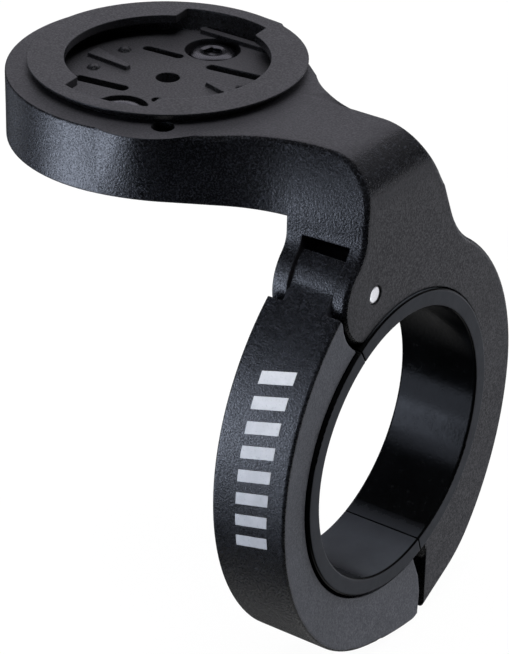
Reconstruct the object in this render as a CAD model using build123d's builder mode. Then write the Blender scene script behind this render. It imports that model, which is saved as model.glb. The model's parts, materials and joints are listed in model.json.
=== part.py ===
from build123d import *
import os
from math import atan2, cos, degrees, radians, sin, sqrt

"""Over-the-stem handlebar mount for a cycling computer, in millimetres.

The origin is the centre of the handlebar bore. +X runs along the handlebar, -Y is forward and +Z is the way
the socket faces. The head sits to the -X side of the clamp, on a neck that bends down into the clamp ring.
"""

# ---- driving dimensions ----------------------------------------------------------------------------------
BAR_D = 31.8
LINER_WALL = 2.1
LINER_WIDTH = 10.2
CLAMP_WIDTH = 9.5
RING_R = 24.15
REAR_BORE_R = 18.15
JAW_BORE_R = 18.35

PIN_Y = -5.96
PIN_Z = 21.14
PIN_D = 2.2
PIN_LENGTH = 9.4
PIN_FIT = 0.02
KNUCKLE_FIT = 0.05
EAR_R = 5.65
KNUCKLE_R = 5.25
KNUCKLE_BACK_R = 3.6
SHOULDER_R = 6.3
SLOT_WIDTH = 5.8
KNUCKLE_WIDTH = 5.4

HEAD_CENTRE = (-27.8, 0.5)
HEAD_R = 18.05
HEAD_BOTTOM = 29.0
HEAD_TOP = 36.7
BEND_R = 6.0
INNER_BEND_R = 1.0

PLATE_TOP = 37.95
PLATE_RIM_R = 15.65
PLATE_RIM_H = 0.85
PLATE_RIM_LAND = 0.12
PLATE_RIM_FOOT_R = 15.0
PLATE_BODY_R = 14.35
PLATE_GAP = 0.2
SOCKET_R = 11.5
SOCKET_DEPTH = 2.65
NOTCH_R = 13.7
NOTCH_WIDTH = 10.5
NOTCH_TURN = 5.0
LIP = 0.95
FLOOR = 1.9
PLATE_SCREW_PCR = 9.37
PLATE_SCREW_ANGLE = 93.7

TETHER_R = 1.25
TETHER_PCR = 16.0
TETHER_ANGLE = -55.0

M3_R = 1.5
M3_HOLE_R = 1.7
INSERT_R = 2.1
INSERT_BORE_R = 1.62

# ---- derived sizes ---------------------------------------------------------------------------------------
BAR_R = BAR_D / 2
LINER_R = BAR_R + LINER_WALL
HALF = CLAMP_WIDTH / 2
PIN_POINT = (PIN_Y, PIN_Z)
FLOOR_TOP = PLATE_TOP - SOCKET_DEPTH
FLOOR_BOTTOM = FLOOR_TOP - FLOOR

# The clamp screw lies along the tangent of the jaw's swing, so the open jaw leaves its tip without binding.
TANGENT_POINT = (4.2, -22.0)
SCREW_TILT = degrees(atan2(TANGENT_POINT[0] - PIN_Y, PIN_Z - TANGENT_POINT[1]))
SCREW_PLANE = Plane(
    origin=(0, *TANGENT_POINT),
    x_dir=(1, 0, 0),
    z_dir=(0, cos(radians(SCREW_TILT)), sin(radians(SCREW_TILT))),
)
SCREW_SEAT = 8.5
WASHER_H = 0.5
SCREW_LENGTH = 12.0
SCREW_HEAD_R = 2.75
SCREW_HEAD_H = 3.0
CLAMP_INSERT_TOP = 1.2
CLAMP_INSERT_L = 4.0


def around(radius, angle, centre=(0.0, 0.0)):
    """A point on a circle, at an angle in degrees."""
    return (centre[0] + radius * cos(radians(angle)), centre[1] + radius * sin(radians(angle)))


def edges_in(builder, x, y, z):
    """The edges that lie inside a box, given as a low and a high along each axis."""
    margin = 0.02

    def inside(edge):
        box = edge.bounding_box()
        low = (box.min.X >= x[0] - margin, box.min.Y >= y[0] - margin, box.min.Z >= z[0] - margin)
        high = (box.max.X <= x[1] + margin, box.max.Y <= y[1] + margin, box.max.Z <= z[1] + margin)
        return all(low) and all(high)

    return builder.edges().filter_by(inside)


def save(part, name):
    part.label = name
    export_step(part, f"parts/{name}.step")


UPWARD = (Align.CENTER, Align.CENTER, Align.MIN)
DOWNWARD = (Align.CENTER, Align.CENTER, Align.MAX)

os.makedirs("parts", exist_ok=True)

# ---- arm body: head, neck, bent arm, ears and the rear half of the ring ----------------------------------
# The neck's front edge runs straight, curves in, straightens and swells round the tether hole into the head.
# Its rear edge leaves the head on a flat and curves in. The lower outlines are wider than the upper one.
NECK_OUTLINES = (
    {
        "z": HEAD_BOTTOM,
        "front": -8.05,
        "hollow": ((-4.75, -9.15), (-8.2, -9.95), (-11.2, -11.25)),
        "swell": ((-16.4, -14.15), (-19.3, -15.65)),
        "rear_curve": ((-10.0, 7.6), (-6.0, 7.65)),
    },
    {
        "z": (HEAD_BOTTOM + HEAD_TOP) / 2,
        "front": -7.6,
        "hollow": ((-3.8, -8.4), (-7.8, -9.2), (-11.4, -10.9)),
        "swell": ((-16.1, -14.0), (-18.8, -15.8)),
        "rear_curve": ((-9.8, 6.2), (-5.1, 5.3)),
    },
    {
        "z": HEAD_TOP,
        "front": -6.2,
        "hollow": ((-2.5, -6.4), (-7.2, -7.5), (-11.6, -10.15)),
        "swell": ((-15.7, -13.75), (-18.1, -16.05)),
        "rear_curve": ((-9.6, 5.4), (-4.3, 3.8)),
    },
)
SWELL_END = around(HEAD_R, -78, HEAD_CENTRE)
FLAT_START = around(HEAD_R, 80, HEAD_CENTRE)
FLAT_END = (-13.5, 8.8)

# The arm's front stands further forward on the neck's side, and blends into the ear on both.
ARM_FRONTS = (
    {"x": -HALF, "y": -9.15, "blend": 3.0},
    {"x": HALF, "y": -8.05, "blend": 4.5},
)
ARM_CORE_Y = 3.0
REAR_Y = 7.65
FLARE_START = (9.3, 25.2)
FLARE_END = around(RING_R, 54.6)
BELLY_ANGLE = -2.0
BELLY_END = (17.05, -19.8)
CORNER_END = (12.5, -23.5)
SPLIT_Y = 7.4

ARM_EDGE_R = 0.65
HEAD_EDGE_R = 0.2

SLOT_TOP = 27.2
SLOT_BACK = -1.6

CORE_R = 13.9
CORE_DEPTH = 2.6
CORE_BOSS_R = 3.4
CORE_RIB = 1.2

with BuildPart() as arm_body:
    # arm and ring, left thicker on the neck's side so that the corner under the neck can be rounded
    with BuildSketch(Plane.YZ.offset(-HALF - INNER_BEND_R)):
        Circle(RING_R)
        with BuildLine():
            TangentArc(around(RING_R, BELLY_ANGLE), BELLY_END, tangent=around(1, BELLY_ANGLE - 90))
            TangentArc(BELLY_END, CORNER_END, tangent=edges()[-1] % 1)
            Polyline(CORNER_END, (6.5, -26.57), (5.0, -18.0), around(RING_R, BELLY_ANGLE))
        make_face()
        with BuildLine():
            Polyline((SPLIT_Y, -30), (SPLIT_Y, -19.4), (6.5, -16.8), (0, 0), (-10, 30))
            Polyline((-10, 30), (-30, 30), (-30, -30), (SPLIT_Y, -30))
        make_face(mode=Mode.SUBTRACT)
        with BuildLine():
            Polyline((REAR_Y, HEAD_BOTTOM), (-7, HEAD_BOTTOM), PIN_POINT, (0, 17), FLARE_END)
            Line((REAR_Y, HEAD_BOTTOM), FLARE_START)
            TangentArc(FLARE_START, FLARE_END, tangent=Vector(*FLARE_START) - Vector(REAR_Y, HEAD_BOTTOM))
        make_face()
        with Locations(PIN_POINT):
            Circle(EAR_R)
        Circle(REAR_BORE_R, mode=Mode.SUBTRACT)
    extrude(amount=CLAMP_WIDTH + INNER_BEND_R)
    with BuildSketch(Plane.XZ):
        with BuildLine():
            corner_low = (-HALF, HEAD_BOTTOM - INNER_BEND_R)
            corner_out = (-HALF - INNER_BEND_R, HEAD_BOTTOM)
            beyond = -HALF - 2 * INNER_BEND_R
            RadiusArc(corner_low, corner_out, INNER_BEND_R)
            Polyline(corner_out, (beyond, HEAD_BOTTOM), (beyond, -40), (-HALF, -40), corner_low)
        make_face()
    extrude(amount=40, both=True, mode=Mode.SUBTRACT)

    for side in ARM_FRONTS:
        blend_y = side["y"] - side["blend"]
        blend_z = PIN_Z + sqrt((EAR_R + side["blend"]) ** 2 - (blend_y - PIN_Y) ** 2)
        ear_angle = degrees(atan2(blend_z - PIN_Z, blend_y - PIN_Y))
        with BuildSketch(Plane.YZ.offset(side["x"])):
            with BuildLine():
                Line((side["y"], HEAD_BOTTOM), (side["y"], blend_z))
                CenterArc((blend_y, blend_z), side["blend"], 0, ear_angle - 180)
                Polyline(around(EAR_R, ear_angle, PIN_POINT), PIN_POINT, (ARM_CORE_Y, HEAD_BOTTOM))
                Line((ARM_CORE_Y, HEAD_BOTTOM), (side["y"], HEAD_BOTTOM))
            make_face()
    loft(ruled=True)

    for outline in NECK_OUTLINES:
        with BuildSketch(Plane.XY.offset(outline["z"])):
            with BuildLine():
                Line((HALF, outline["front"]), outline["hollow"][0])
                ThreePointArc(*outline["hollow"])
                Line(outline["hollow"][2], outline["swell"][0])
                ThreePointArc(*outline["swell"], SWELL_END)
                ThreePointArc(SWELL_END, around(HEAD_R, 180, HEAD_CENTRE), FLAT_START)
                Line(FLAT_START, FLAT_END)
                ThreePointArc(FLAT_END, *outline["rear_curve"])
                rear_corner = (HALF, outline["rear_curve"][1][1])
                Line(outline["rear_curve"][1], rear_corner)
                Line(rear_corner, (HALF, outline["front"]))
            make_face()
    loft()

    # the outer bend between neck and arm
    with BuildSketch(Plane.XZ):
        with Locations((HALF, HEAD_TOP)):
            Rectangle(BEND_R, BEND_R, align=(Align.MAX, Align.MAX))
        with Locations((HALF - BEND_R, HEAD_TOP - BEND_R)):
            Circle(BEND_R, mode=Mode.SUBTRACT)
    extrude(amount=20, both=True, mode=Mode.SUBTRACT)

    # rounded edges of the arm and of the head's top
    near_front = edges_in(arm_body, x=(-BEND_R / 4, HALF), y=(-20, -6.1), z=(16, 40))
    near_rear = edges_in(arm_body, x=(-BEND_R / 4, HALF), y=(3.5, 30), z=(-20, 40))
    fillet(near_front + near_rear, ARM_EDGE_R)
    head_rim = edges_in(arm_body, x=(-50, FLAT_END[0]), y=(-20, 20), z=(HEAD_TOP, HEAD_TOP))
    fillet(head_rim.sort_by(SortBy.LENGTH)[-2:], HEAD_EDGE_R)

    # slot for the jaw's knuckle, and the hinge pin's hole
    with BuildSketch(Plane.YZ):
        with Locations((SLOT_BACK, SLOT_TOP)):
            Rectangle(20, 20, align=(Align.MAX, Align.MAX))
    extrude(amount=SLOT_WIDTH / 2, both=True, mode=Mode.SUBTRACT)
    with BuildSketch(Plane.YZ):
        with Locations(PIN_POINT):
            Circle(PIN_D / 2 + PIN_FIT)
    extrude(amount=HALF, both=True, mode=Mode.SUBTRACT)

    # seat for the plate, with blind holes for its inserts
    with BuildSketch(Plane.XY.offset(FLOOR_BOTTOM)):
        with Locations(HEAD_CENTRE):
            Circle(PLATE_BODY_R + PLATE_GAP)
    extrude(until=Until.LAST, mode=Mode.SUBTRACT)
    with Locations(Plane.XY.offset(FLOOR_BOTTOM)):
        with Locations(HEAD_CENTRE):
            with PolarLocations(PLATE_SCREW_PCR, 2, start_angle=PLATE_SCREW_ANGLE):
                Hole(INSERT_R, depth=3.5)
    with Locations(Plane.XY.offset(HEAD_TOP)):
        with Locations(HEAD_CENTRE):
            with PolarLocations(TETHER_PCR, 1, start_angle=TETHER_ANGLE):
                Hole(TETHER_R, depth=HEAD_TOP - HEAD_BOTTOM)

    # underside coring, leaving ribs and the insert bosses
    with BuildSketch(Plane.XY.offset(HEAD_BOTTOM)):
        with Locations(HEAD_CENTRE):
            Circle(CORE_R)
            Circle(CORE_BOSS_R, mode=Mode.SUBTRACT)
            with PolarLocations(0, 3, start_angle=PLATE_SCREW_ANGLE):
                Rectangle(2 * CORE_R + 2, CORE_RIB, mode=Mode.SUBTRACT)
            with PolarLocations(PLATE_SCREW_PCR, 2, start_angle=PLATE_SCREW_ANGLE):
                Circle(CORE_BOSS_R, mode=Mode.SUBTRACT)
    extrude(amount=CORE_DEPTH, mode=Mode.SUBTRACT)

    # clamp screw's clearance hole and head pocket
    with Locations(SCREW_PLANE.offset(SCREW_SEAT)):
        Hole(M3_HOLE_R, depth=SCREW_SEAT)
    with BuildSketch(SCREW_PLANE.offset(SCREW_SEAT)):
        Circle(SCREW_HEAD_R + 0.15)
    extrude(amount=12, mode=Mode.SUBTRACT)

save(arm_body.part, "arm_body")

# ---- clamp jaw: the front half of the ring, with the hinge knuckle ---------------------------------------
JAW_TOP = (-12.6, 20.9)
JAW_FRONT = (-22.2, 0.15)
JAW_LOWER = (-15.6, -18.1)
JAW_BELLY = (-5.5, -24.75)
JAW_CHIN = (4.7, -26.7)
SHOULDER_ANGLE = 120.5
KNUCKLE_TOP_ANGLE = 122.0
KNUCKLE_FRONT_ANGLE = 165.0
KNUCKLE_END_ANGLE = 250.0
KNUCKLE_BLEND_R = 2.0
JAW_EDGE_R = 0.4

with BuildPart() as clamp_jaw:
    with BuildSketch(Plane.YZ) as jaw_side:
        with BuildLine():
            ThreePointArc(JAW_TOP, JAW_FRONT, JAW_LOWER)
            TangentArc(JAW_LOWER, JAW_BELLY, tangent=edges()[-1] % 1)
            TangentArc(JAW_BELLY, JAW_CHIN, tangent=edges()[-1] % 1)
            Polyline(JAW_CHIN, (6.1, -26.2), (6.25, -23.1), (5.8, -20.8), (4.5, -17.8), (0, 0), JAW_TOP)
        make_face()
        Circle(JAW_BORE_R, mode=Mode.SUBTRACT)
        with Locations(PIN_POINT):
            Circle(SHOULDER_R, mode=Mode.SUBTRACT)
    extrude(amount=HALF, both=True)
    jaw_y = (-30, JAW_CHIN[0])
    jaw_z = (-30, JAW_TOP[1])
    arcs = edges_in(clamp_jaw, (-HALF, -HALF), jaw_y, jaw_z) + edges_in(clamp_jaw, (HALF, HALF), jaw_y, jaw_z)
    fillet([arc for arc in arcs.filter_by(GeomType.CIRCLE) if arc.radius > JAW_BORE_R + 0.5], JAW_EDGE_R)

    with BuildSketch(Plane.YZ):
        with Locations(PIN_POINT):
            Circle(KNUCKLE_BACK_R)
        with BuildLine():
            Line(PIN_POINT, around(KNUCKLE_R, KNUCKLE_TOP_ANGLE, PIN_POINT))
            CenterArc(PIN_POINT, KNUCKLE_R, KNUCKLE_TOP_ANGLE, KNUCKLE_END_ANGLE - KNUCKLE_TOP_ANGLE)
            Line(around(KNUCKLE_R, KNUCKLE_END_ANGLE, PIN_POINT), PIN_POINT)
        make_face()
        with BuildLine():
            knuckle_front = around(KNUCKLE_R, KNUCKLE_FRONT_ANGLE, PIN_POINT)
            Polyline(PIN_POINT, knuckle_front, JAW_TOP, (-14.6, 17.5), (-11, 13.6), close=True)
        make_face()
        Circle(JAW_BORE_R, mode=Mode.SUBTRACT)
    extrude(amount=KNUCKLE_WIDTH / 2, both=True)
    crease = edges_in(clamp_jaw, x=(-HALF, HALF), y=(-11.2, -10.9), z=(22, 23))
    fillet(crease, KNUCKLE_BLEND_R)
    with BuildSketch(Plane.YZ):
        with Locations(PIN_POINT):
            Circle(PIN_D / 2 + KNUCKLE_FIT)
    extrude(amount=HALF, both=True, mode=Mode.SUBTRACT)

    # blind hole for the screw's insert, with room for the screw's tip
    with BuildSketch(SCREW_PLANE.offset(CLAMP_INSERT_TOP - CLAMP_INSERT_L)):
        Circle(INSERT_R)
    extrude(amount=8, mode=Mode.SUBTRACT)
    with BuildSketch(SCREW_PLANE.offset(CLAMP_INSERT_TOP - CLAMP_INSERT_L)):
        Circle(INSERT_BORE_R)
    extrude(amount=-1, mode=Mode.SUBTRACT)

save(clamp_jaw.part, "clamp_jaw")

# ---- hinge pin -------------------------------------------------------------------------------------------
with BuildPart() as hinge_pin:
    with BuildSketch(Plane.YZ):
        with Locations(PIN_POINT):
            Circle(PIN_D / 2)
    extrude(amount=PIN_LENGTH / 2, both=True)
    chamfer(hinge_pin.edges().filter_by(GeomType.CIRCLE), 0.12)

save(hinge_pin.part, "hinge_pin")

# ---- bayonet plate ---------------------------------------------------------------------------------------
# The notches let the computer's tabs in, and the lip over the undercut holds them after a quarter turn.
UNDERCUT_R = 13.75
CENTRE_HOLE_R = 1.37
SCREW_RECESS_RADII = (3.2, 3.05)
SCREW_RECESS = 1.1
LONG_SLOT = ((5.03, 5.68), (2.3, 5.3), 1.45)
SHORT_SLOT = ((-4.65, 5.35), (-2.6, 5.5), 1.2)
RIDGE = ((-10.7, 1.1), (-10.7, -0.9), (-4.7, -1.4), (-4.7, -0.6))
RIDGE_H = 0.5
LEDGE = ((0, 12.6), (4.2, 12.6), 0.9)
LEDGE_H = 0.55
DOMES = ((8.2, 2.85), (8.4, -3.1))
DOME_R = 0.95
DOME_SINK = 0.5

with BuildPart() as bayonet_plate:
    with BuildSketch(Plane.XY.offset(FLOOR_BOTTOM)):
        with Locations(HEAD_CENTRE):
            Circle(PLATE_BODY_R)
    extrude(amount=PLATE_TOP - FLOOR_BOTTOM)
    with Locations((*HEAD_CENTRE, PLATE_TOP)):
        Cylinder(PLATE_RIM_R, PLATE_RIM_LAND, align=DOWNWARD)
    with Locations((*HEAD_CENTRE, PLATE_TOP - PLATE_RIM_LAND)):
        Cone(PLATE_RIM_FOOT_R, PLATE_RIM_R, PLATE_RIM_H - PLATE_RIM_LAND, align=DOWNWARD)
    with BuildSketch(Plane.XY.offset(FLOOR_TOP)):
        with Locations(HEAD_CENTRE):
            Circle(UNDERCUT_R)
    extrude(amount=SOCKET_DEPTH - LIP, mode=Mode.SUBTRACT)
    with BuildSketch(Plane.XY.offset(PLATE_TOP)):
        with Locations(HEAD_CENTRE):
            Circle(NOTCH_R)
            Rectangle(NOTCH_WIDTH, 2 * NOTCH_R, rotation=NOTCH_TURN, mode=Mode.INTERSECT)
            Circle(SOCKET_R)
    extrude(amount=-LIP, mode=Mode.SUBTRACT)

    with Locations(Plane.XY.offset(FLOOR_TOP)):
        with Locations(HEAD_CENTRE):
            Hole(CENTRE_HOLE_R, depth=FLOOR)
            for turn, recess_r in zip((0, 180), SCREW_RECESS_RADII):
                with PolarLocations(PLATE_SCREW_PCR, 1, start_angle=PLATE_SCREW_ANGLE + turn):
                    CounterBoreHole(M3_HOLE_R, recess_r, SCREW_RECESS, depth=FLOOR)

    # the floor's slots, then its ridges, domes and notch ledges, each with its twin half a turn away
    with BuildSketch(Plane.XY.offset(FLOOR_TOP)):
        with Locations(HEAD_CENTRE):
            with PolarLocations(0, 2):
                for centre, end, width in (LONG_SLOT, SHORT_SLOT):
                    SlotCenterPoint(centre, end, width)
    extrude(amount=-FLOOR, mode=Mode.SUBTRACT)
    with BuildSketch(Plane.XY.offset(FLOOR_TOP)):
        with Locations(HEAD_CENTRE):
            with PolarLocations(0, 2):
                Polygon(*RIDGE, align=None)
    extrude(amount=RIDGE_H, taper=10)
    with BuildSketch(Plane.XY.offset(FLOOR_TOP)):
        with Locations(HEAD_CENTRE):
            with PolarLocations(0, 2):
                SlotCenterPoint(*LEDGE)
    extrude(amount=LEDGE_H)
    with Locations(Plane.XY.offset(FLOOR_TOP - DOME_SINK)):
        with Locations(HEAD_CENTRE):
            with PolarLocations(0, 2):
                with Locations(*DOMES):
                    Sphere(DOME_R)

save(bayonet_plate.part, "bayonet_plate")

# ---- screws and inserts of the plate ---------------------------------------------------------------------
PLATE_SCREW_HEAD_R = 2.85
PLATE_SCREW_HEAD_H = 1.0
PLATE_SCREW_LENGTH = 4.2
PLATE_SCREW_HEX = 2.0
PLATE_INSERT_L = 3.5
HEX_RING_R = 1.4

PLATE_SCREW_SEAT = FLOOR_TOP - SCREW_RECESS
PLATE_SCREW_SPOTS = {"rear": PLATE_SCREW_ANGLE, "front": PLATE_SCREW_ANGLE + 180}

for place, angle in PLATE_SCREW_SPOTS.items():
    spot = around(PLATE_SCREW_PCR, angle, HEAD_CENTRE)

    with BuildPart() as plate_screw:
        with Locations(Plane.XY.offset(PLATE_SCREW_SEAT)):
            with Locations(spot):
                Cylinder(PLATE_SCREW_HEAD_R, PLATE_SCREW_HEAD_H, align=UPWARD)
                Cylinder(M3_R, PLATE_SCREW_LENGTH, align=DOWNWARD)
        chamfer(plate_screw.edges().group_by(Axis.Z)[-1], 0.25)
        with BuildSketch(Plane.XY.offset(PLATE_SCREW_SEAT + PLATE_SCREW_HEAD_H)):
            with Locations(spot):
                RegularPolygon(PLATE_SCREW_HEX / 2, 6, major_radius=False)
        extrude(amount=-0.8, mode=Mode.SUBTRACT)
        chamfer(plate_screw.edges().group_by(Axis.Z)[0], 0.3)
    save(plate_screw.part, f"plate_screw_{place}")

    with BuildPart() as plate_insert:
        with Locations(Plane.XY.offset(FLOOR_BOTTOM)):
            with Locations(spot):
                Cylinder(INSERT_R, PLATE_INSERT_L, align=DOWNWARD)
                Hole(INSERT_BORE_R, depth=PLATE_INSERT_L)
    save(plate_insert.part, f"plate_insert_{place}")

# ---- clamp screw, its washer and its insert --------------------------------------------------------------
CLAMP_HEX = 2.5
CLAMP_HEX_DEPTH = 1.4
WASHER_R = 2.75

HEAD_PLANE = SCREW_PLANE.offset(SCREW_SEAT + WASHER_H)

with BuildPart() as clamp_screw:
    with Locations(HEAD_PLANE):
        Cylinder(SCREW_HEAD_R, SCREW_HEAD_H, align=UPWARD)
        Cylinder(M3_R, SCREW_LENGTH, align=DOWNWARD)
    screw_axis = Axis(HEAD_PLANE.origin, HEAD_PLANE.z_dir)
    head_edges = clamp_screw.edges().filter_by(GeomType.CIRCLE).group_by(screw_axis)
    fillet(head_edges[-1], 0.3)
    chamfer(head_edges[0], 0.4)
    with BuildSketch(HEAD_PLANE.offset(SCREW_HEAD_H)):
        RegularPolygon(CLAMP_HEX / 2, 6, major_radius=False)
    extrude(amount=-CLAMP_HEX_DEPTH, mode=Mode.SUBTRACT)

save(clamp_screw.part, "clamp_screw")

with BuildPart() as clamp_washer:
    with BuildSketch(SCREW_PLANE.offset(SCREW_SEAT)):
        Circle(WASHER_R)
        Circle(M3_R + 0.1, mode=Mode.SUBTRACT)
    extrude(amount=WASHER_H)

save(clamp_washer.part, "clamp_washer")

with BuildPart() as clamp_insert:
    with BuildSketch(SCREW_PLANE.offset(CLAMP_INSERT_TOP)):
        Circle(INSERT_R)
        Circle(INSERT_BORE_R, mode=Mode.SUBTRACT)
    extrude(amount=-CLAMP_INSERT_L)

save(clamp_insert.part, "clamp_insert")

# ---- rubber liner, in two halves that part with the jaw --------------------------------------------------
SEAM_HINGE = 119.5
SEAM_SPLIT = -72.0
SEAM_GAP = 0.35

LINER_SPANS = {"rear": (SEAM_SPLIT, SEAM_HINGE), "front": (SEAM_HINGE, SEAM_SPLIT + 360)}

for place, (start, end) in LINER_SPANS.items():
    with BuildPart() as liner:
        with BuildSketch(Plane.YZ):
            with BuildLine():
                CenterArc((0, 0), LINER_R, start + SEAM_GAP, end - start - 2 * SEAM_GAP)
                CenterArc((0, 0), BAR_R, start + SEAM_GAP, end - start - 2 * SEAM_GAP)
                Line(around(BAR_R, start + SEAM_GAP), around(LINER_R, start + SEAM_GAP))
                Line(around(BAR_R, end - SEAM_GAP), around(LINER_R, end - SEAM_GAP))
            make_face()
        extrude(amount=LINER_WIDTH / 2, both=True)
        fillet(liner.edges().filter_by(GeomType.CIRCLE), 0.3)
    save(liner.part, f"liner_{place}")
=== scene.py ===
"""Looks for an over-the-stem handlebar mount: moulded arm, hinged clamp jaw and bayonet plate."""

import json
import math

import bmesh
import bpy
from mathutils import Matrix, Vector
from mathutils.bvhtree import BVHTree


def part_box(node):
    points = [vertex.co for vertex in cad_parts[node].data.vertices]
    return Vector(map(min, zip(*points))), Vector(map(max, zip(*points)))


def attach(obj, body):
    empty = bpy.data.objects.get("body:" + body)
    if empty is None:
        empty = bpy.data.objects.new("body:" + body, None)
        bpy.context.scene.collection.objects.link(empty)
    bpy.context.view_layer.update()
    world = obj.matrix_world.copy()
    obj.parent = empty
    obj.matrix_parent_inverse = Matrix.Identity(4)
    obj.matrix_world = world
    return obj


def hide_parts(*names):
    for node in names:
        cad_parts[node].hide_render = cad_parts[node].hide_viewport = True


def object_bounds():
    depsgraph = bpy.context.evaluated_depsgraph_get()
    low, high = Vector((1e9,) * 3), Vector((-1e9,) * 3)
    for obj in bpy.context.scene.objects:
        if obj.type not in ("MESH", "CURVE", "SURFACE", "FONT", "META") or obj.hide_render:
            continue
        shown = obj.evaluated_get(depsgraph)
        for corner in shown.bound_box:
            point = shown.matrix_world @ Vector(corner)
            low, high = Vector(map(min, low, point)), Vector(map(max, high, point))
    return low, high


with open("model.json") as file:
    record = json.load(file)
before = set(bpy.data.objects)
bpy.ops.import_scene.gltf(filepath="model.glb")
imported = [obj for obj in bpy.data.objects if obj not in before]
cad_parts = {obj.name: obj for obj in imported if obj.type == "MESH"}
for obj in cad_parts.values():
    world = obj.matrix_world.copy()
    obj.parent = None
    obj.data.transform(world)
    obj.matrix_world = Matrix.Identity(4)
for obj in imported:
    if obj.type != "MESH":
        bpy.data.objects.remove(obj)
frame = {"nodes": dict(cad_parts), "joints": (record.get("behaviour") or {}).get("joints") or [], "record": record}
CAD_LOW, CAD_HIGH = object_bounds()
NODES = frame["nodes"]
MM = 0.001


# ---------------------------------------------------------------- places read from the frame

def joint(name):
    """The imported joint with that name."""
    return next(j for j in frame["joints"] if j["name"] == name)


def centre(node):
    """The middle of a CAD node's box."""
    low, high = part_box(node)
    return (low + high) / 2


JAW_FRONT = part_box("clamp_jaw")[0].y
RING_R = -JAW_FRONT


def unit(azimuth, elevation):
    """Direction at that azimuth (0 is -Y, 90 is +X) and height above the floor's plane, in degrees."""
    a = math.radians(azimuth)
    e = math.radians(elevation)
    return Vector((math.sin(a) * math.cos(e), -math.cos(a) * math.cos(e), math.sin(e)))


# ---------------------------------------------------------------- camera

CAMERA_AZIMUTH = 34.8
CAMERA_ELEVATION = 28.78
CAMERA_ROLL = 1.16
CAMERA_AT = Vector((0.1530, -0.24174, 0.16982))
CAMERA_LENS = 163.1
CAMERA_SENSOR = 36
CAMERA_NEAR = 0.01
CAMERA_FAR = 20


def make_camera():
    """The camera at the photograph's viewing angle."""
    back = unit(CAMERA_AZIMUTH, CAMERA_ELEVATION)
    right = unit(CAMERA_AZIMUTH + 90, 0)
    up = back.cross(right)
    roll = math.radians(CAMERA_ROLL)
    rolled_right = right * math.cos(roll) + up * math.sin(roll)
    rolled_up = up * math.cos(roll) - right * math.sin(roll)
    data = bpy.data.cameras.new("camera")
    data.lens = CAMERA_LENS
    data.sensor_width = CAMERA_SENSOR
    data.clip_start = CAMERA_NEAR
    data.clip_end = CAMERA_FAR
    cam = bpy.data.objects.new("camera", data)
    turn = Matrix((rolled_right, rolled_up, back)).transposed()
    cam.matrix_world = Matrix.Translation(CAMERA_AT) @ turn.to_4x4()
    bpy.context.scene.collection.objects.link(cam)
    bpy.context.scene.camera = cam


# ---------------------------------------------------------------- floor

FLOOR_RADIUS = 4.0
FLOOR_GAP = 0.2 * MM
FLOOR_COLOUR = (0.02, 0.02, 0.02, 1)
FLOOR_GLOW = 0.97
FLOOR_ROUGHNESS = 0.9
WHITE = (1, 1, 1, 1)


def make_floor():
    """A plain pale floor just under the object, lit from within like a light table."""
    mesh = bpy.data.meshes.new("floor")
    bm = bmesh.new()
    bmesh.ops.create_circle(bm, cap_ends=True, segments=96, radius=FLOOR_RADIUS)
    bm.to_mesh(mesh)
    bm.free()
    floor = bpy.data.objects.new("floor", mesh)
    floor.location = (0, 0, CAD_LOW.z - FLOOR_GAP)
    bpy.context.scene.collection.objects.link(floor)
    floor.visible_glossy = False
    floor.visible_diffuse = False
    floor.visible_shadow = False
    mat = bpy.data.materials.new("floor_paper")
    mat.use_nodes = True
    bsdf = mat.node_tree.nodes["Principled BSDF"]
    bsdf.inputs["Base Color"].default_value = FLOOR_COLOUR
    bsdf.inputs["Roughness"].default_value = FLOOR_ROUGHNESS
    bsdf.inputs["Specular IOR Level"].default_value = 0.0
    bsdf.inputs["Emission Color"].default_value = WHITE
    bsdf.inputs["Emission Strength"].default_value = FLOOR_GLOW
    mesh.materials.append(mat)


# ---------------------------------------------------------------- lights

SURROUND_SEEN = 1.0
SURROUND_ON_OBJECT = 0.005
BLUE = (0.73, 0.81, 1.0)
PALE_BLUE = (0.80, 0.86, 1.0)
NEAR_WHITE = (0.92, 0.92, 1.0)
NEUTRAL = (1, 1, 1)

# Soft boxes near a part: name, part, azimuth, height and distance from it, size, radiance, colour.
CARDS = (
    ("head_side_card", centre("bayonet_plate"), -84, -22, 0.085, (0.060, 0.028), 0.35, PALE_BLUE),
    ("jaw_card", Vector((0, JAW_FRONT, -0.008)), -38, -9, 0.150, (0.066, 0.082), 3.2, BLUE),
    ("neck_card", Vector((0, -0.008, 0.033)), -27, 9, 0.100, (0.044, 0.030), 3.0, BLUE),
)

# Large soft boxes round the whole object: the same, from its middle.
BODY = Vector((0, 0, 0.005))
BOXES = (
    ("behind_left", BODY, -141, 38, 0.9, (1.0, 0.9), 0.72, (0.92, 0.90, 1.0)),
    ("behind_right", BODY, 150, -24, 0.9, (1.1, 0.8), 0.86, (0.92, 0.93, 1.0)),
    ("behind_top", BODY, 165, 34, 0.9, (0.6, 0.6), 0.30, NEAR_WHITE),
    ("right_strip", BODY, 112, -18, 0.5, (0.07, 0.40), 2.4, (0.90, 0.94, 1.0)),
)

# Fill lights that leave no reflection: name, place, side of the square, radiance.
FILLS = (
    ("overhead", (0, 0, 1.2), 0.9, 10.0),
    ("front_fill", unit(-8, 2), 0.6, 2.6),
    ("back_fill", unit(180, 4), 0.7, 22.0),
    ("left_fill", unit(-90, 0), 0.7, 8.0),
)

# Light from below, which comes through the floor.
TABLE_AT = (-0.01, 0, -0.45)
TABLE_SIDE = 0.45
TABLE_RADIANCE = 0.45

# The card that puts the long highlight on the head's wall: its offset from the head, height and facing.
HEAD_CARD_OFFSET = (-0.0245, -0.0532)
HEAD_CARD_HEIGHT = 0.008
HEAD_CARD_FACING = Vector((0.35, 0.937, 0))
HEAD_CARD_SIZE = (0.042, 0.027)
HEAD_CARD_RADIANCE = 6.8


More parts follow.
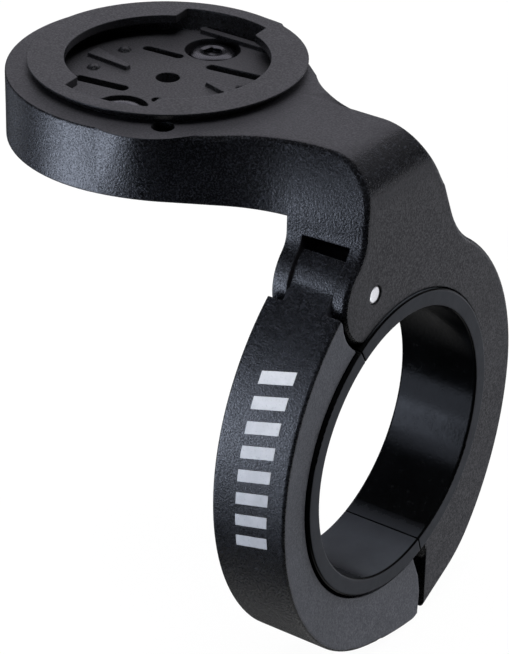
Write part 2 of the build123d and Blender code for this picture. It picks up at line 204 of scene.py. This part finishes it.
def soft_light(name, at, look_at, size, radiance, colour=NEUTRAL):
    """A soft box at a place, facing another, that the camera doesn't see."""
    data = bpy.data.lights.new(name, "AREA")
    data.shape = "RECTANGLE"
    data.size, data.size_y = size
    data.energy = radiance * math.pi * size[0] * size[1]
    data.color = colour
    obj = bpy.data.objects.new(name, data)
    obj.location = at
    obj.rotation_mode = "QUATERNION"
    obj.rotation_quaternion = (Vector(at) - Vector(look_at)).to_track_quat("Z", "Y")
    obj.visible_camera = False
    bpy.context.scene.collection.objects.link(obj)
    return obj


def make_surround():
    """A world that is white to the camera and almost dark to the object."""
    world = bpy.data.worlds.new("studio")
    bpy.context.scene.world = world
    world.use_nodes = True
    tree = world.node_tree
    background = tree.nodes["Background"]
    path = tree.nodes.new("ShaderNodeLightPath")
    strength = tree.nodes.new("ShaderNodeMapRange")
    strength.inputs["To Min"].default_value = SURROUND_ON_OBJECT
    strength.inputs["To Max"].default_value = SURROUND_SEEN
    tree.links.new(path.outputs["Is Camera Ray"], strength.inputs["Value"])
    tree.links.new(strength.outputs["Result"], background.inputs["Strength"])
    background.inputs["Color"].default_value = WHITE


def make_lights():
    """Soft boxes and fills for the object."""
    head = centre("bayonet_plate")
    dx, dy = HEAD_CARD_OFFSET
    near = Vector((head.x + dx, head.y + dy, HEAD_CARD_HEIGHT))
    soft_light("head_card", near, near + HEAD_CARD_FACING, HEAD_CARD_SIZE, HEAD_CARD_RADIANCE, BLUE)
    for name, part, azimuth, elevation, distance, size, radiance, colour in CARDS + BOXES:
        at = part + unit(azimuth, elevation) * distance
        soft_light(name, at, part, size, radiance, colour)
    soft_light("table", TABLE_AT, BODY, (TABLE_SIDE, TABLE_SIDE), TABLE_RADIANCE)
    for name, at, side, radiance in FILLS:
        fill = soft_light(name, at, (0, 0, 0), (side, side), radiance)
        fill.visible_glossy = False
    bpy.context.scene.view_settings.view_transform = "Standard"


# ---------------------------------------------------------------- material building blocks

class Shader:
    """A material with short ways to add and join its nodes."""

    def __init__(self, name):
        self.material = bpy.data.materials.new(name)
        self.material.use_nodes = True
        self.tree = self.material.node_tree
        self.bsdf = self.tree.nodes["Principled BSDF"]
        self.coords = self.tree.nodes.new("ShaderNodeTexCoord").outputs["Object"]

    def set(self, **values):
        """Constants on the shader's own sockets."""
        for key, value in values.items():
            self.bsdf.inputs[key.replace("_", " ")].default_value = value

    def link(self, source, target):
        self.tree.links.new(source, target)

    def node(self, kind, **settings):
        made = self.tree.nodes.new(kind)
        for key, value in settings.items():
            setattr(made, key, value)
        return made

    def scaled(self, scale=(1, 1, 1), turn=(0, 0, 0)):
        """The object's coordinates, stretched and turned."""
        made = self.node("ShaderNodeMapping")
        self.link(self.coords, made.inputs["Vector"])
        made.inputs["Scale"].default_value = scale
        made.inputs["Rotation"].default_value = turn
        return made.outputs["Vector"]

    def noise(self, size, detail=4.0, rough=0.55, coords=None):
        """Noise whose main lumps are size metres across; from 0 to 1."""
        made = self.node("ShaderNodeTexNoise")
        self.link(coords or self.coords, made.inputs["Vector"])
        made.inputs["Scale"].default_value = 1 / size
        made.inputs["Detail"].default_value = detail
        made.inputs["Roughness"].default_value = rough
        return made.outputs["Fac"]

    def cells(self, size):
        """Distance to the nearest of many scattered points size metres apart."""
        made = self.node("ShaderNodeTexVoronoi")
        self.link(self.coords, made.inputs["Vector"])
        made.inputs["Scale"].default_value = 1 / size
        return made.outputs["Distance"]

    def span(self, value, low, high, to_low=0.0, to_high=1.0):
        """Value stretched from low..high to to_low..to_high and clamped."""
        made = self.node("ShaderNodeMapRange", clamp=True)
        self.link(value, made.inputs["Value"])
        made.inputs["From Min"].default_value = low
        made.inputs["From Max"].default_value = high
        made.inputs["To Min"].default_value = to_low
        made.inputs["To Max"].default_value = to_high
        return made.outputs["Result"]

    def math(self, operation, first, second):
        """One arithmetic step on two sockets or numbers."""
        made = self.node("ShaderNodeMath", operation=operation)
        for socket, value in zip(made.inputs, (first, second)):
            if isinstance(value, (int, float)):
                socket.default_value = value
            else:
                self.link(value, socket)
        return made.outputs[0]

    def mix(self, factor, first, second):
        """Between two colours; each is a tuple or a socket."""
        made = self.node("ShaderNodeMix", data_type="RGBA")
        self.link(factor, made.inputs["Factor"])
        for index, value in ((6, first), (7, second)):
            if isinstance(value, tuple):
                made.inputs[index].default_value = (*value, 1)
            else:
                self.link(value, made.inputs[index])
        return made.outputs[2]

    def blend(self, factor, first, second):
        """Between two numbers."""
        return self.span(factor, 0.0, 1.0, first, second)

    def textured_and_painted_lit_faces(self):
        """1 on the faces square to X or Z, which the mould leaves rougher, and 0 on the walls; these faces also
        get a much lighter base colour, which is painted light for the lit top and side faces.
        """
        normal = self.node("ShaderNodeTexCoord").outputs["Normal"]
        parts = self.node("ShaderNodeSeparateXYZ")
        self.link(normal, parts.inputs["Vector"])
        sideways = self.math("ABSOLUTE", parts.outputs["X"], 0.0)
        upwards = self.math("ABSOLUTE", parts.outputs["Z"], 0.0)
        return self.span(self.math("MAXIMUM", sideways, upwards), 0.90, 0.99)

    def edges(self, radius):
        """1 along the sharp edges and 0 on the open faces, with the rounded normal."""
        bevel = self.node("ShaderNodeBevel", samples=6)
        bevel.inputs["Radius"].default_value = radius
        flat = self.node("ShaderNodeNewGeometry").outputs["Normal"]
        dot = self.node("ShaderNodeVectorMath", operation="DOT_PRODUCT")
        self.link(bevel.outputs["Normal"], dot.inputs[0])
        self.link(flat, dot.inputs[1])
        bend = self.math("SUBTRACT", 1.0, dot.outputs["Value"])
        return self.span(bend, 0.02, 0.25), bevel.outputs["Normal"]

    def bump(self, height, strength, distance, normal):
        """A bumped normal on top of another one."""
        made = self.node("ShaderNodeBump")
        made.inputs["Strength"].default_value = strength
        made.inputs["Distance"].default_value = distance
        self.link(height, made.inputs["Height"])
        self.link(normal, made.inputs["Normal"])
        return made.outputs["Normal"]

    def finish(self, colour, roughness, normal):
        """Join the last three sockets and give the material."""
        self.link(colour, self.bsdf.inputs["Base Color"])
        self.link(roughness, self.bsdf.inputs["Roughness"])
        self.link(normal, self.bsdf.inputs["Normal"])
        return self.material


def shade(colour, factor):
    """A colour made lighter or darker."""
    return tuple(c * factor for c in colour)


# ---------------------------------------------------------------- materials

NYLON_SPECK = (0.028, 0.031, 0.040)
NYLON_FIBRE = (0.034, 0.037, 0.046)
NYLON_WEAR = (0.034, 0.036, 0.042)


def nylon(name, wall, face, level, wall_gloss=0.20, face_gloss=0.52, relief=0.6):
    """Glass-filled nylon: satin walls, rougher flat faces painted much lighter as painted light for their lit
    sides, short fibres near the skin, worn edges.
    """
    s = Shader(name)
    s.set(Specular_IOR_Level=level)
    cloud = s.noise(0.006, detail=3)
    grit = s.noise(0.00014, detail=2, rough=0.6)
    speck = s.noise(0.00021, detail=2, rough=0.7)
    coarse = s.noise(0.0006, detail=3, rough=0.6)
    fibre_along = s.noise(0.00020, detail=1, coords=s.scaled((1.0, 0.25, 1.0), (0.3, 0.1, 0.8)))
    fibre_across = s.noise(0.00020, detail=1, coords=s.scaled((0.25, 1.0, 0.8), (0.0, 0.4, 0.3)))
    fibres = s.math("MAXIMUM", s.span(fibre_along, 0.60, 0.72), s.span(fibre_across, 0.62, 0.74))
    # Mask of the flat faces: their rougher finish and bump are their own, their much lighter colour is painted
    # light.
    textured_and_painted_lit = s.textured_and_painted_lit_faces()
    worn, rounded = s.edges(0.00025)

    shades = s.span(cloud, 0.35, 0.65)
    on_wall = s.mix(shades, wall, shade(wall, 1.6))
    on_wall = s.mix(s.span(speck, 0.54, 0.68, 0.0, 0.26), on_wall, NYLON_SPECK)
    on_wall = s.mix(s.math("MULTIPLY", fibres, 0.4), on_wall, NYLON_FIBRE)
    # Painted light: the flat faces take the much lighter face colour, standing for how the top and side faces
    # catch the lamps.
    on_painted_lit_face = s.mix(shades, face, shade(face, 1.18))
    on_painted_lit_face = s.mix(s.span(grit, 0.35, 0.7, 0.0, 0.5), on_painted_lit_face, shade(face, 0.6))
    base = s.mix(textured_and_painted_lit, on_wall, on_painted_lit_face)
    wear = s.math("MULTIPLY", worn, s.span(coarse, 0.3, 0.7, 0.2, 0.7))
    base = s.mix(wear, base, NYLON_WEAR)

    rough = s.blend(textured_and_painted_lit, wall_gloss, face_gloss)
    rough = s.math("ADD", rough, s.span(speck, 0.38, 0.62, -0.09, 0.20))
    height = s.math("ADD", s.math("MULTIPLY", speck, 1.6), s.math("MULTIPLY", coarse, 0.7))
    height = s.math("MULTIPLY", height, s.blend(textured_and_painted_lit, 1.0, 0.5))
    return s.finish(base, rough, s.bump(height, relief, 0.00008, rounded))


RUBBER_DUST = (0.05, 0.05, 0.048)
RUBBER_WEAR = (0.03, 0.032, 0.033)


def rubber(name, wall, face):
    """Soft moulded liner: smooth bore, matt sides painted much lighter as painted light, faint mottling and dust.
    """
    s = Shader(name)
    s.set(Specular_IOR_Level=0.10)
    cloud = s.noise(0.004, detail=4)
    pores = s.cells(0.00035)
    dust = s.noise(0.0009, detail=5, rough=0.7)
    textured_and_painted_lit = s.textured_and_painted_lit_faces()
    worn, rounded = s.edges(0.0002)

    shades = s.span(cloud, 0.35, 0.65)
    on_wall = s.mix(shades, wall, shade(wall, 1.5))
    # Painted light: the flat sides take the much lighter face colour, standing for how they catch the lamps.
    on_painted_lit_face = s.mix(shades, face, shade(face, 1.2))
    base = s.mix(textured_and_painted_lit, on_wall, on_painted_lit_face)
    base = s.mix(s.span(dust, 0.60, 0.72, 0.0, 0.12), base, RUBBER_DUST)
    base = s.mix(s.math("MULTIPLY", worn, 0.4), base, RUBBER_WEAR)

    rough = s.math("ADD", s.blend(textured_and_painted_lit, 0.17, 0.55), s.span(dust, 0.3, 0.7, -0.02, 0.08))
    height = s.math("ADD", s.math("MULTIPLY", pores, 0.5), s.math("MULTIPLY", dust, 0.8))
    return s.finish(base, rough, s.bump(height, 0.3, 0.00003, rounded))


def steel(name, tint, gloss, turned_axis="X"):
    """Turned metal: fine lines from the tool along one axis, small scratches, brighter edges."""
    s = Shader(name)
    s.set(Metallic=1.0)
    stretch = {"X": (0.05, 1, 1), "Z": (1, 1, 0.05)}[turned_axis]
    lines = s.noise(0.00006, detail=3, coords=s.scaled(stretch))
    cloud = s.noise(0.0012, detail=3)
    scratch = s.noise(0.0003, detail=2, coords=s.scaled((0.15, 1, 1), (0.4, 0.2, 0.9)))
    worn, rounded = s.edges(0.00012)

    polished = tuple(min(1.0, c * 1.35 + 0.05) for c in tint)
    base = s.mix(s.span(cloud, 0.3, 0.7), tint, shade(tint, 0.78))
    base = s.mix(s.math("MULTIPLY", worn, 0.7), base, polished)

    rough = s.span(lines, 0.3, 0.7, gloss - 0.05, gloss + 0.07)
    rough = s.math("ADD", rough, s.span(scratch, 0.62, 0.75, 0.0, 0.12))
    height = s.math("ADD", s.math("MULTIPLY", lines, 0.5), s.math("MULTIPLY", scratch, 0.5))
    return s.finish(base, rough, s.bump(height, 0.25, 0.00001, rounded))


INK_THICK = (0.50, 0.51, 0.53)
INK_THIN = (0.42, 0.43, 0.45)
INK_GAP = (0.22, 0.23, 0.25)
INK_RUBBED = (0.20, 0.21, 0.23)


def ink():
    """Pale pad-printed ink: thin in places, rubbed at its edges, slightly rough."""
    s = Shader("pale_ink")
    s.set(Specular_IOR_Level=0.3)
    cloud = s.noise(0.0015, detail=4)
    speck = s.noise(0.00025, detail=3, rough=0.7)
    worn, rounded = s.edges(0.00008)
    base = s.mix(s.span(cloud, 0.3, 0.7), INK_THIN, INK_THICK)
    base = s.mix(s.span(speck, 0.58, 0.72, 0.0, 0.55), base, INK_GAP)
    base = s.mix(s.math("MULTIPLY", worn, 0.35), base, INK_RUBBED)
    rough = s.span(speck, 0.3, 0.7, 0.42, 0.62)
    return s.finish(base, rough, s.bump(speck, 0.4, 0.00002, rounded))


# Each face colour is a much lighter copy of its wall colour: painted light for the flat faces that the lamps
# reach.
FINISHES = {
    "arm_plastic": nylon(
        "arm_nylon",
        wall=(0.0028, 0.0029, 0.0035),
        face=(0.0215, 0.0212, 0.0244),
        level=0.42,
        wall_gloss=0.17,
        relief=0.5,
    ),
    "jaw_plastic": nylon(
        "jaw_nylon",
        wall=(0.0030, 0.0032, 0.0040),
        face=(0.060, 0.0640, 0.0780),
        level=0.60,
    ),
    "plate_plastic": nylon(
        "plate_nylon",
        wall=(0.0045, 0.0045, 0.0052),
        face=(0.018, 0.0177, 0.0202),
        level=0.60,
        wall_gloss=0.26,
        relief=0.2,
    ),
    "pin_steel": steel("pin_steel", (0.97, 0.97, 0.96), 0.30),
    "screw_steel": steel("screw_black_steel", (0.15, 0.15, 0.16), 0.24, "Z"),
    "washer_steel": steel("washer_steel", (0.42, 0.42, 0.41), 0.30, "Z"),
    "insert_brass": steel("insert_brass", (0.62, 0.44, 0.20), 0.32, "Z"),
    "liner_rubber": rubber(
        "liner_rubber",
        wall=(0.0014, 0.0015, 0.0016),
        face=(0.034, 0.0368, 0.0430),
    ),
}


def dress_nodes():
    """Give every CAD node the finish of its slot in the record."""
    for row in frame["record"]["subparts"]:
        mesh = NODES[row["node"]].data
        mesh.materials.clear()
        mesh.materials.append(FINISHES[row["material_slot"]])


# ---------------------------------------------------------------- mesh pieces

SHARP_ANGLE = 38


def add_piece(name, points, faces, material, body, smooth=True):
    """A new mesh object that rides a body and takes a slot."""
    mesh = bpy.data.meshes.new(name)
    mesh.from_pydata([tuple(point) for point in points], [], faces)
    mesh.validate()
    mesh.update()
    if smooth:
        mesh.shade_smooth()
        mesh.set_sharp_from_angle(angle=math.radians(SHARP_ANGLE))
    mesh.materials.append(material)
    piece = bpy.data.objects.new(name, mesh)
    bpy.context.scene.collection.objects.link(piece)
    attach(piece, body)
    return piece


def turned(rows, foot, along, segments=72):
    """Points and faces of a closed turned shape, from rows of (height, radius).

    A radius is a number, or a function of the angle round the axis.
    """
    across = along.orthogonal().normalized()
    beside = along.cross(across)
    points = [foot + along * rows[0][0]]
    for height, radius in rows:
        for k in range(segments):
            a = 2 * math.pi * k / segments
            r = radius(a) if callable(radius) else radius
            points.append(foot + along * height + (across * math.cos(a) + beside * math.sin(a)) * r)
    points.append(foot + along * rows[-1][0])
    faces = []
    last = len(points) - 1
    top = last - segments
    for k in range(segments):
        n = (k + 1) % segments
        faces.append((0, 1 + n, 1 + k))
        for i in range(len(rows) - 1):
            a = 1 + i * segments
            b = a + segments
            faces.append((a + k, a + n, b + n, b + k))
        faces.append((last, top + k, top + n))
    return points, faces


def hexagon(across_flats):
    """Radius of a hexagon at an angle."""
    def radius(a):
        from_flat = (a + math.pi / 6) % (math.pi / 3) - math.pi / 6
        return across_flats / 2 / math.cos(from_flat)
    return radius


def knurled(radius, depth, teeth=24):
    """Radius of a knurled rim at an angle."""
    def at(a):
        return radius - depth * (0.5 - 0.5 * math.cos(teeth * a))
    return at


def threaded(radius, depth, pitch, height):
    """Radius of a screw thread at an angle, at one height."""
    def at(a):
        phase = (height / pitch - a / (2 * math.pi)) % 1.0
        return radius - depth * abs(2 * phase - 1)
    return at


# ---------------------------------------------------------------- screws

ROWS_PER_TURN = 6
THREAD_DEPTH = 0.16
KNURL_DEPTH = 0.09 * MM
DOME_ROWS = 8
DOME_FOOT = 0.32
MOUTH = 0.74
SOCKET_DEPTH = 0.55


def shank_rows(tip, neck, radius, pitch):
    """Rows of a threaded shank from its tapered tip to the neck under the head."""
    rows = [(tip, radius * 0.55), (tip + 0.25 * MM, radius * 0.72)]
    step = pitch / ROWS_PER_TURN
    count = int((neck - tip - 0.6 * MM) / step)
    for k in range(count):
        height = tip + 0.35 * MM + k * step
        rows.append((height, threaded(radius, THREAD_DEPTH * radius, pitch, height)))
    rows += [(neck - 0.1 * MM, radius * 0.93), (neck, radius)]
    return rows


def button_rows(neck, crown, radius, mouth):
    """Rows of a domed head, from its underside to the mouth of its socket."""
    tall = crown - neck
    rows = [(neck, radius - 0.12 * MM), (neck + tall * 0.10, radius), (neck + tall * DOME_FOOT, radius)]
    for k in range(1, DOME_ROWS):
        a = math.pi / 2 * k / DOME_ROWS
        height = neck + tall * (DOME_FOOT + (1 - DOME_FOOT) * math.sin(a))
        rows.append((height, mouth + (radius - mouth) * math.cos(a)))
    rows.append((crown, mouth))
    return rows


def cylinder_rows(neck, crown, radius, mouth):
    """Rows of a knurled, chamfered cylinder head, from its underside to the mouth of its socket."""
    tall = crown - neck
    rim = knurled(radius, KNURL_DEPTH)
    return [
        (neck, radius - 0.12 * MM),
        (neck + tall * 0.06, radius - 0.05 * MM),
        (neck + tall * 0.10, rim),
        (neck + tall * 0.84, rim),
        (neck + tall * 0.86, radius - 0.06 * MM),
        (crown - 0.10 * MM, radius - 0.10 * MM),
        (crown - 0.03 * MM, radius - 0.20 * MM),
        (crown, radius - 0.34 * MM),
        (crown, mouth),
    ]


def socket_rows(neck, crown, across_flats):
    """Rows down into a hexagon socket, with its lead-in and the cone at its bottom."""
    floor = crown - (crown - neck) * SOCKET_DEPTH
    sides = hexagon(across_flats)
    return [
        (crown - 0.04 * MM, across_flats * 0.68),
        (crown - 0.14 * MM, sides),
        (floor, sides),
        (floor - 0.02 * MM, across_flats * 0.42),
        (floor - across_flats * 0.12, across_flats * 0.05),
    ]


def measure(node, foot, along, shank_limit):
    """Lowest and highest height, lowest and highest height of the head, and head radius, about an axis."""
    heights = []
    for vertex in NODES[node].data.vertices:
        offset = vertex.co - foot
        height = offset.dot(along)
        heights.append((height, (offset - along * height).length))
    head = [height for height, radius in heights if radius > shank_limit]
    return min(heights)[0], max(heights)[0], min(head), max(head), max(radius for _, radius in heights)


CLAMP_SHANK_R = 1.5 * MM
CLAMP_SHANK_LIMIT = 2.3 * MM
CLAMP_SOCKET = 2.5 * MM
CLAMP_PITCH = 0.5 * MM


def add_clamp_screw():
    """The socket-head screw that closes the clamp, with its thread and knurled head."""
    along = Vector(joint("clamp_screw_travel")["axis"]).normalized()
    foot = centre("clamp_washer")
    low, high, neck, crown, head_r = measure("clamp_screw", foot, along, CLAMP_SHANK_LIMIT)
    if neck - low < high - crown:
        along = -along
        low, neck, crown = -high, -crown, -neck
    rows = shank_rows(low, neck, CLAMP_SHANK_R, CLAMP_PITCH)
    rows += cylinder_rows(neck, crown, head_r, CLAMP_SOCKET * MOUTH)
    rows += socket_rows(neck, crown, CLAMP_SOCKET)
    points, faces = turned(rows, foot, along)
    piece = add_piece("clamp_screw_threaded", points, faces, FINISHES["screw_steel"], "screw")
    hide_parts("clamp_screw")


PLATE_SHANK_R = 1.0 * MM
PLATE_SHANK_LIMIT = 2.0 * MM
PLATE_SOCKET = 2.0 * MM
PLATE_PITCH = 0.4 * MM


def add_plate_screws():
    """The two button-head screws that hold the bayonet plate."""
    along = Vector((0, 0, 1))
    for node in ("plate_screw_rear", "plate_screw_front"):
        middle = centre(node)
        foot = Vector((middle.x, middle.y, 0))
        low, crown, neck, _, head_r = measure(node, foot, along, PLATE_SHANK_LIMIT)
        rows = shank_rows(low, neck, PLATE_SHANK_R, PLATE_PITCH)
        rows += button_rows(neck, crown, head_r, PLATE_SOCKET * MOUTH)
        rows += socket_rows(neck, crown, PLATE_SOCKET)
        points, faces = turned(rows, foot, along)
        piece = add_piece(node + "_threaded", points, faces, FINISHES["screw_steel"], "arm")
        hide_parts(node)


# ---------------------------------------------------------------- hinge pin

PIN_SEGMENTS = 48
PIN_CROWN = 0.06 * MM
PIN_CROWN_SHARE = 0.80
PIN_CROWN_ROWS = 8
PIN_TINY = 0.01 * MM

# Rows of the chamfer: depth in from the pin's end, share of the radius.
PIN_CHAMFER = ((0.09 * MM, 0.84), (0.12 * MM, 0.90), (0.24 * MM, 0.99), (0.34 * MM, 1.0))


def add_hinge_pin():
    """The hinge pin with its crowned, chamfered ends."""
    low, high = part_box("hinge_pin")
    half = (high.x - low.x) / 2
    radius = (high.z - low.z) / 2
    end = []
    for k in range(PIN_CROWN_ROWS + 1):
        share = k / PIN_CROWN_ROWS
        end.append((PIN_CROWN * share ** 2, max(radius * PIN_CROWN_SHARE * share, PIN_TINY)))
    end += [(depth, radius * share) for depth, share in PIN_CHAMFER]
    rows = [(depth - half, r) for depth, r in end]
    rows += [(half - depth, r) for depth, r in reversed(end)]
    points, faces = turned(rows, centre("hinge_pin"), Vector((1, 0, 0)), PIN_SEGMENTS)
    piece = add_piece("hinge_pin_crowned", points, faces, FINISHES["pin_steel"], "arm")
    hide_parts("hinge_pin")


# ---------------------------------------------------------------- print on the jaw

PRINT_LEFT = -1.6 * MM
PRINT_RIGHT = 2.5 * MM
PRINT_TOP = 43.0
PRINT_BOTTOM = -12.0
PRINT_BARS = 8
PRINT_SHARE = 0.52
PRINT_LEAN = 2.6
PRINT_THICK = 0.03 * MM
PRINT_COLUMNS = 9
PRINT_LINES = 5
RAY_START = 12 * MM


def bar_points(tree, bottom, tall):
    """Points of one bar laid on the jaw: its top layer, then its bottom layer just under the skin."""
    points = []
    for lift in (PRINT_THICK, -PRINT_THICK):
        for i in range(PRINT_COLUMNS):
            u = i / (PRINT_COLUMNS - 1)
            x = PRINT_LEFT + (PRINT_RIGHT - PRINT_LEFT) * u
            for j in range(PRINT_LINES):
                angle = bottom + tall * j / (PRINT_LINES - 1) + PRINT_LEAN * u
                out = unit(0, angle)
                at = Vector((x, 0, 0)) + out * (RING_R + RAY_START)
                hit = tree.ray_cast(at, -out)[0]
                points.append(hit + out * lift)
    return points


def bar_faces(start):
    """Faces of one closed bar whose points begin at that index."""
    under = start + PRINT_COLUMNS * PRINT_LINES
    faces = []
    for i in range(PRINT_COLUMNS - 1):
        for j in range(PRINT_LINES - 1):
            a = i * PRINT_LINES + j
            b = a + PRINT_LINES
            faces.append((start + a, start + b, start + b + 1, start + a + 1))
            faces.append((under + a + 1, under + b + 1, under + b, under + a))
    last_column = (PRINT_COLUMNS - 1) * PRINT_LINES
    last_line = PRINT_LINES - 1
    rim = [i * PRINT_LINES for i in range(PRINT_COLUMNS)]
    rim += [last_column + j for j in range(1, PRINT_LINES)]
    rim += [i * PRINT_LINES + last_line for i in range(PRINT_COLUMNS - 2, -1, -1)]
    rim += list(range(last_line - 1, 0, -1))
    for a, b in zip(rim, rim[1:] + rim[:1]):
        faces.append((start + b, start + a, under + a, under + b))
    return faces


def add_print():
    """A row of slanted pale bars printed round the outside of the jaw."""
    skin = NODES["clamp_jaw"].data
    tree = BVHTree.FromPolygons(
        [vertex.co.copy() for vertex in skin.vertices],
        [tuple(face.vertices) for face in skin.polygons],
    )
    pitch = (PRINT_TOP - PRINT_BOTTOM - PRINT_LEAN) / (PRINT_BARS - 1 + PRINT_SHARE)
    points = []
    faces = []
    for bar in range(PRINT_BARS):
        faces += bar_faces(len(points))
        points += bar_points(tree, PRINT_BOTTOM + bar * pitch, pitch * PRINT_SHARE)
    add_piece("jaw_print_bars", points, faces, ink(), "jaw", smooth=False)


# ---------------------------------------------------------------- the scene

dress_nodes()
make_camera()
make_floor()
make_surround()
make_lights()
add_clamp_screw()
add_plate_screws()
add_hinge_pin()
add_print()
